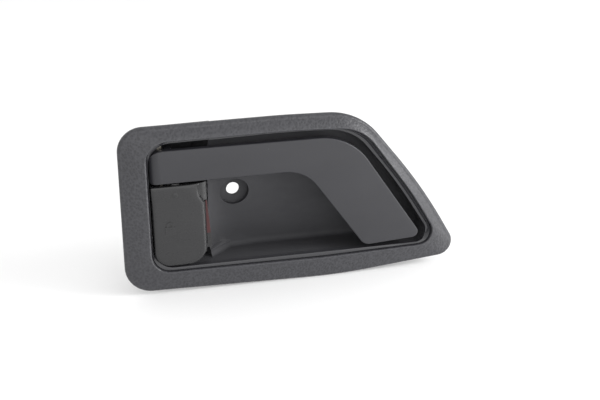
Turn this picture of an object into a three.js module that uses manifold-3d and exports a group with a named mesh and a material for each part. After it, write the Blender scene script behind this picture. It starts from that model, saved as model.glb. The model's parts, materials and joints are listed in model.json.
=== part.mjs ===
// Interior car door handle: a flush bezel round a finger pocket, a pull lever and a lock knob that
// share one upright hinge pin, with the cranks and rod clips that work the latch behind them.
//
// Millimetres. +X runs along the handle to the free end of the lever, +Z is up, and the face looks
// along -Y into the car. The origin is on the axis of the fixing screw, in the plane where the back
// of the flange meets the door trim.

import * as THREE from "three";
import { mergeVertices } from "three/addons/utils/BufferGeometryUtils.js";
import Module from "manifold-3d";

const wasm = await Module();
wasm.setup();

// ---------------------------------------------------------------- driving dimensions

const GAP = 0.3; // clearance between touching pieces
const WALL = 2.2; // moulded wall thickness
const FAR = 150; // past every edge of the handle

// Depths along Y, front to back.
const CREASE_Y = -4.5; // highest ridge of the bezel, round its opening
const FACE_Y = -4.8; // front of the lever and the knob
const LIP_Y = -3.4; // front of the housing's lip, inside the bezel
const RIM_Y = -2.2; // front of the bezel's outer edge
const SKIN_Y = -2; // back of the bezel's front skin
const TRIM_Y = 0; // back of the flange
const CUP_BACK_Y = 18; // back of the housing round the hinge

// The pocket's floor leans: it is deepest at the bottom, where the fingertips reach.
const FLOOR_Y = 10; // depth of the floor level with the fixing screw
const FLOOR_LEAN = 0.24; // extra depth for each millimetre lower

// Outlines seen from the front, anticlockwise, each corner as [x, z, corner radius]. The corners
// with a very large radius only crown a long edge.
const FLANGE = [
  [-51.8, -39.3, 12],
  [46, -41.5, 280],
  [105, -36.3, 7],
  [85.4, -1.8, 260],
  [55, 36.4, 30],
  [21, 37.3, 400],
  [-51.3, 36.8, 11],
];
const CREASE = [
  [-40.6, -30.2, 9.2],
  [32, -31.2, 300],
  [95, -29.6, 7],
  [82, -6.4, 220],
  [56.1, 29.8, 20.4],
  [28, 31.5, 400],
  [-40.6, 30.9, 10.8],
];
const CUP = [
  [-39.6, -28.9, 8],
  [47, -28.4, 300],
  [93, -29.6, 5.4],
  [69.8, 6, 250],
  [51, 28.5, 23.6],
  [24.8, 29.1, 400],
  [-39.6, 28.6, 8],
];
const LEVER = [
  [-38.9, 11.7, 1.5],
  [29.4, 12.2, 17.7],
  [57, -26.6, 5.4],
  [84.8, -24.9, 2.8],
  [50.4, 26.6, 27],
  [-38.9, 26.6, 6.8],
];
const KNOB = [
  [-38.4, -27.5, 7],
  [-15, -27.3, 7.8],
  [-15.1, 1.2, 1.2],
  [-17.3, 5.2, 0.8],
  [-17.3, 10.3, 0.5],
  [-38.4, 10.2, 0.5],
];

// The knob's slanting facet beside its face, in plan as [x, y].
const FACET = [
  [-19.2, -3.8],
  [-17.6, -3.8],
  [-17.6, -0.9],
  [-15.5, -0.4],
  [-13.3, 1],
  [-13.3, 3.4],
  [-19.2, 0.8],
];

// The space kept clear in front of the knob's side, as [x, z]: it slants in towards the top.
const SIDE_CLEARANCE = [
  [-12.4, -15.4],
  [FAR, -15.4],
  [FAR, FAR],
  [-13.3, FAR],
  [-13.6, 1],
];
const SIDE_CLEARANCE_BACK = 5.6;

// The hinge: one upright pin carries the lever above and the knob below.
const HINGE = { x: -33.6, y: 0.5 };
const PIN_RADIUS = 1.5;
const PIN_TOP = 32.1;
const PIN_BOTTOM = -32.8;
const PIN_HEAD = { radius: 2.3, height: 1 };
const PUSH_NUT = { bottom: -32, top: -31.4 };
const HEAD_RELIEF = { radius: 2.7, above: 30.8, below: -31.1 };
const BUSH = { inner: PIN_RADIUS + GAP, outer: 2.5, length: 4 };
const BUSH_BORE = BUSH.outer + GAP;
const LEVER_HUB_RADIUS = HINGE.y - FACE_Y;
const LEVER_HUB = { bottom: 12, top: 26.3 };
const SPRING_BAY = { bottom: 15.6, top: 22.8, radius: 4 };
const RETURN_SPRING = { radius: 2.7, wireRadius: 0.4, bottom: 16.4, top: 21.9 };
const SPRING_STOP = { bottom: 20.3, front: 10, width: 2 };
const KNOB_HUB = { bottom: -25.2, top: 9.4, radius: 3.8 };
const KNOB_FACE = 2; // thickness of the knob's face
const SKIRT_RADIUS = 21.2; // the knob's side is an arc about the pin
const SKIRT = { thickness: 1.8, bottom: -22, top: 1.4, step: 9.6 };
const SKIRT_DEGREES = { front: 2, back: 24 };
const SHOULDER_Y = 1.2; // front of the skirt, beside the knob's face
const WELL_RADIUS = SKIRT_RADIUS + 0.7; // the housing curves round it

const SCREW = { bore: 3, recess: 6.7, boss: 9.2, frontY: 6, seatY: 13.7, web: 1.5, relief: 5.4, backY: 20.4 };

const FLAT_LEVER = 2.8; // thickness of the lever's panel
const CRANK = { bottom: 15.5, top: 17.3, from: 7, reach: 31.5, eye: 5 };
const LUG = { bottom: 12.4, top: CRANK.bottom - GAP, reach: 16 };
const RIVETS = [10, 15]; // distances behind the pin
const RIVET_BORE = 1.3;
const KNOB_ARM = { bottom: -10.5, top: -7.5, x: 12.7, y: 28, eye: 5 };
const EYE_BORE = 2.6;
const STOP_POST = { x: -22, y: 8.3, radius: 1.6, sleeve: 3, top: 17.4 };
const REST_POST = { x: 47, z: 17, radius: 3.6, y: 1.5 };
const HOOK = { x: 66, width: 12, front: 2.4, bottom: -37.5 }; // clears a 2 mm door panel
const SHELF = { bottom: 9.9, top: 11.2, front: 6.2, right: -14 };
const HINGE_END = { left: -41, right: -9 }; // the part of the housing that isn't a pocket
const LEFT_WALL_X = -39.6; // inner face of the cup's left wall
const RIBS = { places: [22, 40, 58], thickness: 1.6, front: 4, bottom: -27, top: 22 };
const BEZEL_RETURN = 0.8; // how far the bezel turns in, inside its crease

// ---------------------------------------------------------------- materials

/** A finish with its colour, roughness and, for metals, metalness. */
function finish(color, roughness, metalness = 0) {
  return { color, roughness, metalness };
}

const GRAINED_PLASTIC = finish(0x2b2b2d, 0.75);
const SMOOTH_PLASTIC = finish(0x1f1f21, 0.35);
const LEVER_PLASTIC = finish(0x262628, 0.5);
const KNOB_PLASTIC = finish(0x202022, 0.35);
const NATURAL_PLASTIC = finish(0xd9d6c8, 0.5);
const PLATED_STEEL = finish(0xb9b7a8, 0.35, 0.9);
const SPRING_STEEL = finish(0x8d8f93, 0.3, 0.9);
const BLACK_RUBBER = finish(0x191919, 0.9);
const RED_FILM = finish(0xc01818, 0.45);

// ---------------------------------------------------------------- outlines

/** The unit vectors along the edges that come into and leave a corner. */
function edgesAt(corners, index) {
  const count = corners.length;
  const [x, y] = corners[index];
  const [xBefore, yBefore] = corners[(index + count - 1) % count];
  const [xAfter, yAfter] = corners[(index + 1) % count];
  const into = new THREE.Vector2(x - xBefore, y - yBefore).normalize();
  const out = new THREE.Vector2(xAfter - x, yAfter - y).normalize();
  return { into, out, turn: into.cross(out) };
}

/** A closed outline through corners of [x, y, radius], each rounded with a tangent arc. */
function outline(corners) {
  const shape = new THREE.Shape();
  corners.forEach(([x, y, radius], index) => {
    const { into, out, turn } = edgesAt(corners, index);
    const reach = radius * Math.tan(into.angleTo(out) / 2);
    const side = Math.sign(turn) * radius;
    const centre = new THREE.Vector2(x - into.x * reach - into.y * side, y - into.y * reach + into.x * side);
    const start = Math.atan2(y - into.y * reach - centre.y, x - into.x * reach - centre.x);
    const end = Math.atan2(y + out.y * reach - centre.y, x + out.x * reach - centre.x);
    shape.absarc(centre.x, centre.y, radius, start, end, turn < 0);
  });
  shape.closePath();
  return shape;
}

/** The same corners moved in by a distance, or out by a negative one, with their radii to suit. */
function inset(corners, distance) {
  return corners.map(([x, y, radius], index) => {
    const { into, out, turn } = edgesAt(corners, index);
    const scale = distance / (1 + into.dot(out));
    const dx = -(into.y + out.y) * scale;
    const dy = (into.x + out.x) * scale;
    return [x + dx, y + dy, Math.max(radius - Math.sign(turn) * distance, GAP)];
  });
}

/** A closed outline with sharp corners. */
function polygon(corners) {
  return new THREE.Shape(corners.map(([x, y]) => new THREE.Vector2(x, y)));
}

/** A bar with round ends between two points, as an outline. */
function bar(x1, y1, x2, y2, radius) {
  const heading = Math.atan2(y2 - y1, x2 - x1);
  const shape = new THREE.Shape();
  shape.absarc(x2, y2, radius, heading - Math.PI / 2, heading + Math.PI / 2, false);
  shape.absarc(x1, y1, radius, heading + Math.PI / 2, heading + 1.5 * Math.PI, false);
  shape.closePath();
  return shape;
}

/** Part of a ring about the hinge in plan, between two radii and two angles in degrees. */
function ringSector(inner, outer, fromDegrees, toDegrees) {
  const from = THREE.MathUtils.degToRad(fromDegrees);
  const to = THREE.MathUtils.degToRad(toDegrees);
  const shape = new THREE.Shape();
  shape.absarc(HINGE.x, HINGE.y, outer, from, to, false);
  shape.absarc(HINGE.x, HINGE.y, inner, to, from, true);
  shape.closePath();
  return shape;
}

// ---------------------------------------------------------------- solids

/** A manifold solid from a closed three.js geometry. */
function solid(geometry) {
  const bare = geometry.clone();
  bare.deleteAttribute("normal");
  bare.deleteAttribute("uv");
  const merged = mergeVertices(bare, 1e-4);
  return new wasm.Manifold(
    new wasm.Mesh({
      numProp: 3,
      vertProperties: merged.attributes.position.array,
      triVerts: new Uint32Array(merged.index.array),
    }),
  );
}

/** A three.js geometry from a manifold solid. */
function geometryOf(manifold) {
  const mesh = manifold.getMesh();
  const geometry = new THREE.BufferGeometry();
  geometry.setAttribute("position", new THREE.BufferAttribute(mesh.vertProperties, 3));
  geometry.setIndex(new THREE.BufferAttribute(mesh.triVerts, 1));
  const flat = geometry.toNonIndexed();
  flat.computeVertexNormals();
  return flat;
}

/** A front-view outline as a slab from one depth to another. */
function slab(shape, front, back, curveSegments = 5) {
  const depth = back - front;
  const geometry = new THREE.ExtrudeGeometry(shape, { depth, bevelEnabled: false, curveSegments });
  geometry.rotateX(Math.PI / 2);
  geometry.translate(0, back, 0);
  return solid(geometry);
}

/** A plan outline, drawn in X and Y, as a plate from one height to another. */
function plate(shape, bottom, top, curveSegments = 8) {
  const depth = top - bottom;
  const geometry = new THREE.ExtrudeGeometry(shape, { depth, bevelEnabled: false, curveSegments });
  geometry.translate(0, 0, bottom);
  return solid(geometry);
}

/** A block between two opposite corners. */
function block(x1, y1, z1, x2, y2, z2) {
  const geometry = new THREE.BoxGeometry(x2 - x1, y2 - y1, z2 - z1);
  geometry.translate((x1 + x2) / 2, (y1 + y2) / 2, (z1 + z2) / 2);
  return solid(geometry);
}

/** An upright cylinder. */
function upright(x, y, radius, bottom, top, sides = 24) {
  const geometry = new THREE.CylinderGeometry(radius, radius, top - bottom, sides);
  geometry.rotateX(Math.PI / 2);
  geometry.translate(x, y, (bottom + top) / 2);
  return solid(geometry);
}

/** A cylinder that points into the door. */
function inward(x, z, radius, front, back, sides = 32) {
  const geometry = new THREE.CylinderGeometry(radius, radius, back - front, sides);
  geometry.translate(x, (front + back) / 2, z);
  return solid(geometry);
}

/** The pin's own axis as a cylinder of any radius. */
function onHinge(radius, bottom, top, sides = 24) {
  return upright(HINGE.x, HINGE.y, radius, bottom, top, sides);
}

/** How deep the pocket's floor is at a height. */
function floorDepth(z) {
  return FLOOR_Y - FLOOR_LEAN * z;
}

/** All the space in front of a plane parallel to the pocket's floor, behind it by an offset. */
function inFrontOfFloor(offset) {
  const profile = new THREE.Shape();
  profile.moveTo(-FAR, -FAR);
  profile.lineTo(floorDepth(-FAR) + offset, -FAR);
  profile.lineTo(floorDepth(FAR) + offset, FAR);
  profile.lineTo(-FAR, FAR);
  profile.closePath();
  const geometry = new THREE.ExtrudeGeometry(profile, { depth: 2 * FAR, bevelEnabled: false });
  geometry.rotateX(Math.PI / 2);
  geometry.rotateZ(Math.PI / 2);
  geometry.translate(-FAR, 0, 0);
  return solid(geometry);
}

/** A front-view outline carried right through the handle. */
function column(corners) {
  return slab(outline(corners), -FAR, FAR);
}

/** All the solids of a list as one. */
function union(solids) {
  return solids.reduce((all, next) => all.add(next));
}

/** A solid with every solid of a list cut away. */
function without(whole, cuts) {
  return cuts.reduce((left, cut) => left.subtract(cut), whole);
}

// ---------------------------------------------------------------- bezel and housing

/** The grained flange: domed from its edge up to the crease, and hollow behind. */
function bezel() {
  const slopeWidth = 4;
  const geometry = new THREE.ExtrudeGeometry(outline(FLANGE), {
    depth: TRIM_Y - RIM_Y,
    bevelThickness: RIM_Y - CREASE_Y,
    bevelSize: slopeWidth,
    bevelOffset: -slopeWidth,
    bevelSegments: 3,
    curveSegments: 5,
  });
  geometry.rotateX(Math.PI / 2);
  const dome = solid(geometry).intersect(block(-FAR, -FAR, -FAR, FAR, TRIM_Y, FAR));
  const hollow = slab(outline(inset(FLANGE, WALL)), SKIN_Y, TRIM_Y + 1);
  return without(dome, [column(inset(CREASE, BEZEL_RETURN)), hollow]);
}

/** The pocket that the fingers use, down to its leaning floor and up its curved left end. */
function pocketSpace() {
  const sweep = { x: 8, y: -6, radius: 24 };
  const plan = new THREE.Shape();
  plan.moveTo(FAR, -FAR);
  plan.lineTo(FAR, FAR);
  plan.lineTo(sweep.x, FAR);
  plan.lineTo(sweep.x, sweep.y + sweep.radius);
  plan.absarc(sweep.x, sweep.y, sweep.radius, Math.PI / 2, Math.PI, false);
  plan.lineTo(sweep.x - sweep.radius, -FAR);
  plan.closePath();
  return column(CUP)
    .intersect(inFrontOfFloor(0))
    .intersect(plate(plan, -FAR, FAR, 10));
}

/** The well round the hinge, open to the back so that the cranks can pass. */
function wellSpace() {
  return column(CUP).intersect(onHinge(WELL_RADIUS, -FAR, FAR, 64));
}

/** The cup's outer skin, following the floor on the right and square round the hinge. */
function cupSkin() {
  const skin = slab(outline(inset(CUP, -WALL)), SKIN_Y + GAP, CUP_BACK_Y);
  const hingeEnd = block(-FAR, -FAR, -FAR, HINGE_END.right, FAR, FAR);
  return skin.intersect(inFrontOfFloor(WALL).add(hingeEnd));
}

/** The ledge that the bezel sits on, and the raised lip that shows inside its opening. */
function flangeRing() {
  const ledgeInset = WALL + GAP + 0.1;
  const ledge = slab(outline(inset(FLANGE, ledgeInset)), SKIN_Y + GAP, TRIM_Y);
  const lip = slab(outline(inset(CREASE, BEZEL_RETURN + GAP)), LIP_Y, SKIN_Y + 2 * GAP);
  return ledge.add(lip).subtract(column(CUP));
}

/** Upright ribs that stiffen the back of the pocket. */
function backRibs() {
  const { places, thickness, front, bottom, top } = RIBS;
  const half = thickness / 2;
  const ribs = places.map((x) => block(x - half, front, bottom, x + half, CUP_BACK_Y, top));
  return union(ribs).intersect(column(CUP));
}

/** The hook that slips behind the door panel, relieved where it leaves the cup. */
function panelHook() {
  const left = HOOK.x - HOOK.width / 2;
  const right = HOOK.x + HOOK.width / 2;
  const root = -30;
  const relief = { bottom: -33.2, depth: 0.4 };
  const tongue = block(left, HOOK.front, HOOK.bottom, right, HOOK.front + WALL, root);
  return tongue.subtract(block(left - 1, 0, relief.bottom, right + 1, HOOK.front + relief.depth, root + 1));
}

/** The wall across the back of the hinge well, with a slot for each crank. */
function wellBack() {
  const swing = 2;
  const wall = block(HINGE_END.left, CUP_BACK_Y - WALL, -FAR, HINGE_END.right - 1, CUP_BACK_Y, FAR);
  const slots = [
    { left: -38.3, bottom: SHELF.top, top: SPRING_STOP.bottom - 0.2 },
    { left: -36.4, bottom: KNOB_ARM.bottom - swing, top: KNOB_ARM.top + swing },
  ];
  const cuts = slots.map(({ left, bottom, top }) => block(left, 0, bottom, 0, FAR, top));
  return without(wall, cuts).intersect(column(inset(CUP, -1)));
}

/** The shelf under the crank, with the post for the lever's stop. */
function stopShelf() {
  const shelf = block(HINGE_END.left, SHELF.front, SHELF.bottom, SHELF.right, CUP_BACK_Y, SHELF.top);
  const post = upright(STOP_POST.x, STOP_POST.y, STOP_POST.radius, SHELF.top - 1, STOP_POST.top);
  return shelf.intersect(column(inset(CUP, -1))).add(post);
}

/** The block that the return spring's rear leg pushes against. */
function springStop() {
  const left = HINGE.x - RETURN_SPRING.radius + RETURN_SPRING.wireRadius + GAP;
  const top = 30;
  return block(left, SPRING_STOP.front, SPRING_STOP.bottom, left + SPRING_STOP.width, CUP_BACK_Y, top);
}

/** The moulded housing: flange ledge, pocket, screw boss, hinge well and its stops. */
function housing() {
  const outside = union([
    cupSkin(),
    flangeRing(),
    inward(0, 0, SCREW.boss, SCREW.frontY, SCREW.backY),
    backRibs(),
    panelHook(),
  ]);
  const hollow = without(outside, [pocketSpace(), wellSpace()]);
  const { x, y, z, radius } = REST_POST;
  const restPost = inward(x, z, radius, y, floorDepth(z) + 1, 24);
  const inside = union([hollow, restPost, wellBack(), stopShelf(), springStop()]);
  return without(inside, [
    inward(0, 0, SCREW.recess, 0, SCREW.seatY),
    inward(0, 0, SCREW.bore, 0, FAR),
    inward(0, 0, SCREW.relief, SCREW.seatY + SCREW.web, FAR),
    onHinge(PIN_RADIUS + GAP, -FAR, FAR),
    onHinge(HEAD_RELIEF.radius, HEAD_RELIEF.above, FAR),
    onHinge(HEAD_RELIEF.radius, -FAR, HEAD_RELIEF.below),
  ]);
}

// ---------------------------------------------------------------- hinge

/** The steel pin with its upset head. */
function hingePin() {
  const headBottom = PIN_TOP - PIN_HEAD.height;
  const shank = onHinge(PIN_RADIUS, PIN_BOTTOM, PIN_TOP - PIN_HEAD.height / 2);
  return shank.add(onHinge(PIN_HEAD.radius, headBottom, PIN_TOP));
}

/** The push nut that holds the pin at its lower end. */
function pushNut() {
  const nut = onHinge(PIN_HEAD.radius, PUSH_NUT.bottom, PUSH_NUT.top);
  return nut.subtract(onHinge(PIN_RADIUS + GAP / 2, -FAR, FAR));
}

/** A plain bush between two heights on the pin. */
function bush(bottom, top) {
  return onHinge(BUSH.outer, bottom, top).subtract(onHinge(BUSH.inner, -FAR, FAR));
}

/** A wire along a path through points. */
function wire(points, radius, steps) {
  const section = new THREE.Shape();
  section.absarc(0, 0, radius, 0, 2 * Math.PI, false);
  const path = new THREE.CatmullRomCurve3(points, false, "centripetal");
  const geometry = new THREE.ExtrudeGeometry(section, { steps, curveSegments: 4, extrudePath: path });
  return solid(geometry);
}

/** The torsion spring that closes the lever: one leg behind the lever, one on the housing's stop. */
function leverReturnSpring() {
  const { radius, wireRadius, bottom, top } = RETURN_SPRING;
  const pointsPerTurn = 12;
  const firstAngle = -Math.PI / 4;
  const turns = 4 + 3 / 8;
  const legY = FACE_Y + FLAT_LEVER + GAP + wireRadius;
  const points = [14, 9, 5].map((reach) => new THREE.Vector3(HINGE.x + reach, legY, bottom));
  const count = Math.round(turns * pointsPerTurn);
  for (let step = 0; step <= count; step += 1) {
    const angle = firstAngle - (2 * Math.PI * turns * step) / count;
    const height = bottom + ((top - bottom) * step) / count;
    const x = HINGE.x + radius * Math.cos(angle);
    const y = HINGE.y + radius * Math.sin(angle);
    points.push(new THREE.Vector3(x, y, height));
  }
  [3, 8, 14].forEach((reach) => points.push(new THREE.Vector3(HINGE.x - radius, HINGE.y + reach, top)));
  return wire(points, wireRadius, 92);
}

/** A ribbon of even thickness along a smooth curve through plan points, as an outline. */
function ribbon(points, thickness) {
  const curve = new THREE.SplineCurve(points.map(([x, y]) => new THREE.Vector2(x, y)));
  const steps = 28;
  const sideAt = (step, side) => {
    const along = curve.getTangent(step / steps);
    const across = new THREE.Vector2(-along.y, along.x).multiplyScalar((side * thickness) / 2);
    return curve.getPoint(step / steps).add(across);
  };
  const stations = Array.from({ length: steps + 1 }, (_, step) => step);
  const left = stations.map((step) => sideAt(step, 1));
  const right = stations.map((step) => sideAt(step, -1)).reverse();
  return new THREE.Shape([...left, ...right]);
}

/** The leaf that clicks the knob into its two positions: a foot on the left wall and a bent tip. */
function lockDetentSpring() {
  const thickness = 0.5;
  const footX = LEFT_WALL_X + GAP + thickness / 2;
  const tipY = HINGE.y + KNOB_HUB.radius + GAP + thickness / 2;
  const bends = [
    [footX, 6.5],
    [footX, 11],
    [footX + 1, 14.6],
    [HINGE.x - 2.6, 14.4],
    [HINGE.x - 1.3, 9],
    [HINGE.x, tipY],
    [HINGE.x + 1.4, 8],
    [HINGE.x + 2.2, 10.6],
  ];
  return plate(ribbon(bends, thickness), -21, -16);
}

// ---------------------------------------------------------------- lever

/** The holes for the crank's rivets. */
function rivetHoles() {
  const bottom = LUG.bottom - 1;
  const top = CRANK.top + 1;
  return RIVETS.map((reach) => upright(HINGE.x, HINGE.y + reach, RIVET_BORE, bottom, top, 16));
}

/** The L-shaped lever with its hub rolled round the pin and the lug for the crank. */
function pullLever() {
  const bay = { left: HINGE.x - 6, right: HINGE.x + 6, legSlot: HINGE.x + 8 };
  const panelBack = FACE_Y + FLAT_LEVER;
  const lugRadius = 4.2;
  const panel = slab(outline(LEVER), FACE_Y, panelBack).intersect(block(HINGE.x, -FAR, -FAR, FAR, FAR, FAR));
  const hub = onHinge(LEVER_HUB_RADIUS, LEVER_HUB.bottom - 1, LEVER_HUB.top + 1, 48);
  const body = panel.add(hub).intersect(column(LEVER));
  const lug = plate(bar(HINGE.x, HINGE.y, HINGE.x, HINGE.y + LUG.reach, lugRadius), LUG.bottom, LUG.top);
  return without(body.add(lug), [
    onHinge(SPRING_BAY.radius, SPRING_BAY.bottom, SPRING_BAY.top),
    block(bay.left, HINGE.y, SPRING_BAY.bottom, bay.right, FAR, SPRING_BAY.top),
    block(HINGE.x, panelBack, SPRING_BAY.bottom, bay.legSlot, FAR, SPRING_BAY.top),
    onHinge(BUSH_BORE, -FAR, FAR),
    ...rivetHoles(),
  ]);
}

/** The plated crank that pulls the latch rod. */
function leverCrank() {
  const tip = HINGE.y + CRANK.reach;
  const halfWidth = 4;
  const start = HINGE.y + CRANK.from + halfWidth;
  const strip = plate(bar(HINGE.x, start, HINGE.x, tip, halfWidth), CRANK.bottom, CRANK.top);
  const eye = upright(HINGE.x, tip, CRANK.eye, CRANK.bottom, CRANK.top);
  return without(strip.add(eye), [upright(HINGE.x, tip, EYE_BORE, 0, FAR), ...rivetHoles()]);
}

/** A rivet through the lug and the crank. */
function crankRivet(reach) {
  const headHeight = 0.6;
  const headRadius = RIVET_BORE + 0.7;
  const bottom = LUG.bottom - GAP;
  const top = CRANK.top + GAP;
  const y = HINGE.y + reach;
  return union([
    upright(HINGE.x, y, RIVET_BORE - GAP, bottom - headHeight / 2, top + headHeight / 2, 16),
    upright(HINGE.x, y, headRadius, bottom - headHeight, bottom, 16),
    upright(HINGE.x, y, headRadius, top, top + headHeight, 16),
  ]);
}

// ---------------------------------------------------------------- lock knob

/** The lock knob: face, curved side, webs, hub and the arm that works the lock rod. */
function lockKnob() {
  const { front, back } = SKIRT_DEGREES;
  const inner = SKIRT_RADIUS - SKIRT.thickness;
  const webThickness = 1.6;
  const faceRight = KNOB[1][0];
  const beside = block(faceRight - GAP, -FAR, -FAR, FAR, SHOULDER_Y, FAR);
  const webShape = ringSector(PIN_RADIUS + 0.5, SKIRT_RADIUS - 0.5, -12, back);
  const webs = [SKIRT.bottom, 0].map((height) => plate(webShape, height, height + webThickness));
  const cheek = slab(outline(KNOB), FACE_Y + 1, SHOULDER_Y + 0.5).intersect(
    block(faceRight - SKIRT.thickness, -FAR, SKIRT.bottom, FAR, FAR, SKIRT.top),
  );
  const tip = { x: HINGE.x + KNOB_ARM.x, y: HINGE.y + KNOB_ARM.y };
  const armRadius = 3.6;
  const whole = union([
    slab(outline(KNOB), FACE_Y, FACE_Y + KNOB_FACE),
    cheek,
    plate(ringSector(inner, SKIRT_RADIUS, front, back), SKIRT.bottom, SKIRT.top),
    plate(ringSector(inner, SKIRT_RADIUS, front, back), 0, SKIRT.step),
    plate(polygon(FACET), SKIRT.top, SKIRT.step),
    union(webs).subtract(beside),
    onHinge(KNOB_HUB.radius, KNOB_HUB.bottom, KNOB_HUB.top),
    plate(bar(HINGE.x, HINGE.y, tip.x, tip.y, armRadius), KNOB_ARM.bottom, KNOB_ARM.top),
    upright(tip.x, tip.y, KNOB_ARM.eye, KNOB_ARM.bottom, KNOB_ARM.top),
  ]);
  return without(whole, [
    slab(polygon(SIDE_CLEARANCE), -FAR, SIDE_CLEARANCE_BACK),
    onHinge(BUSH_BORE, -FAR, FAR),
    upright(tip.x, tip.y, EYE_BORE, -FAR, FAR),
  ]);
}

/** The red film on the skirt's shoulder, a wedge that widens downwards. */
function unlockedMarker() {
  const wedge = polygon([
    [-14.4, 0.6],
    [-14.4, -15],
    [-12.6, -15],
    [-13.8, 0.6],
  ]);
  const thickness = 0.25;
  const back = SHOULDER_Y - 0.1;
  return slab(wedge, back - thickness, back);
}

/** A swivel clip for a rod: a post through the eye, a snap head and a cradle below. */
function rodClip(x, y, bottom, top) {
  const cradle = { left: -4.2, right: 8, halfWidth: 3.6, height: 5.7 };
  const rod = { radius: 1.6, below: 3.4 };
  const head = { radius: 3.4, thickness: 1.1 };
  const left = x + cradle.left;
  const right = x + cradle.right;
  const cradleTop = bottom - GAP;
  const cradleBottom = cradleTop - cradle.height;
  const rodBore = new THREE.CylinderGeometry(rod.radius, rod.radius, 30, 16);
  rodBore.rotateZ(Math.PI / 2);
  rodBore.translate(x, y, bottom - rod.below);
  return union([
    upright(x, y, EYE_BORE - GAP, bottom - 1, top + 1),
    upright(x, y, head.radius, top + GAP, top + GAP + head.thickness),
    block(left, y - cradle.halfWidth, cradleBottom, right, y + cradle.halfWidth, cradleTop),
  ]).subtract(solid(rodBore));
}

// ---------------------------------------------------------------- rubber

/** The buffer that the lever rests on. */
function leverRestBumper() {
  const { x, z, radius, y } = REST_POST;
  return inward(x, z, radius - 0.5, FACE_Y + FLAT_LEVER + GAP, y - GAP, 24);
}

/** The sleeve that the crank's lug meets when the lever is fully out. */
function leverStopSleeve() {
  const { x, y, radius, sleeve, top } = STOP_POST;
  return upright(x, y, sleeve, SHELF.top + GAP, top).subtract(upright(x, y, radius + GAP, 0, FAR));
}

/** The pad on the left wall that stops the knob's arm when the door is locked. */
function lockStopBumper() {
  const pad = { thickness: 2.4, front: 10, back: 15.5, margin: 2 };
  const left = LEFT_WALL_X + GAP;
  const bottom = KNOB_ARM.bottom - pad.margin;
  return block(left, pad.front, bottom, left + pad.thickness, pad.back, KNOB_ARM.top + pad.margin);
}

// ---------------------------------------------------------------- assembly

const handle = new THREE.Group();

/** Adds one piece to the handle. */
function add(name, manifold, material) {
  const mesh = new THREE.Mesh(geometryOf(manifold), new THREE.MeshStandardMaterial(material));
  mesh.name = name;
  handle.add(mesh);
}

add("bezel", bezel(), GRAINED_PLASTIC);
add("housing", housing(), SMOOTH_PLASTIC);
add("hinge_pin", hingePin(), PLATED_STEEL);
add("pin_push_nut", pushNut(), SPRING_STEEL);
add("lever_return_spring", leverReturnSpring(), SPRING_STEEL);
add("lock_detent_spring", lockDetentSpring(), SPRING_STEEL);
add("lever_rest_bumper", leverRestBumper(), BLACK_RUBBER);
add("lever_stop_sleeve", leverStopSleeve(), BLACK_RUBBER);
add("lock_stop_bumper", lockStopBumper(), BLACK_RUBBER);

add("pull_lever", pullLever(), LEVER_PLASTIC);
add("lever_bush_upper", bush(SPRING_BAY.top, LEVER_HUB.top), SMOOTH_PLASTIC);
add("lever_bush_lower", bush(LEVER_HUB.bottom, SPRING_BAY.bottom), SMOOTH_PLASTIC);
add("lever_crank", leverCrank(), PLATED_STEEL);
RIVETS.forEach((reach, index) => add(`crank_rivet_${index + 1}`, crankRivet(reach), PLATED_STEEL));

add("lock_knob", lockKnob(), KNOB_PLASTIC);
add("lock_bush_upper", bush(KNOB_HUB.top - BUSH.length, KNOB_HUB.top), SMOOTH_PLASTIC);
add("lock_bush_lower", bush(KNOB_HUB.bottom, KNOB_HUB.bottom + BUSH.length), SMOOTH_PLASTIC);
add("unlocked_marker", unlockedMarker(), RED_FILM);

add("latch_rod_clip", rodClip(HINGE.x, HINGE.y + CRANK.reach, CRANK.bottom, CRANK.top), NATURAL_PLASTIC);
const ARM_TIP = { x: HINGE.x + KNOB_ARM.x, y: HINGE.y + KNOB_ARM.y };
const LOCK_CLIP = rodClip(ARM_TIP.x, ARM_TIP.y, KNOB_ARM.bottom, KNOB_ARM.top);
add("lock_rod_clip", LOCK_CLIP, NATURAL_PLASTIC);

export default handle;
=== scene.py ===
"""Interior car door handle: fine meshes, materials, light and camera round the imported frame.

Shapes are worked out in millimetres in the CAD frame: X along the handle, Y into the door, Z up.
"""

import json
import math

import bmesh
import bpy
from mathutils import Matrix, Vector
from mathutils.geometry import delaunay_2d_cdt


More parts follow.
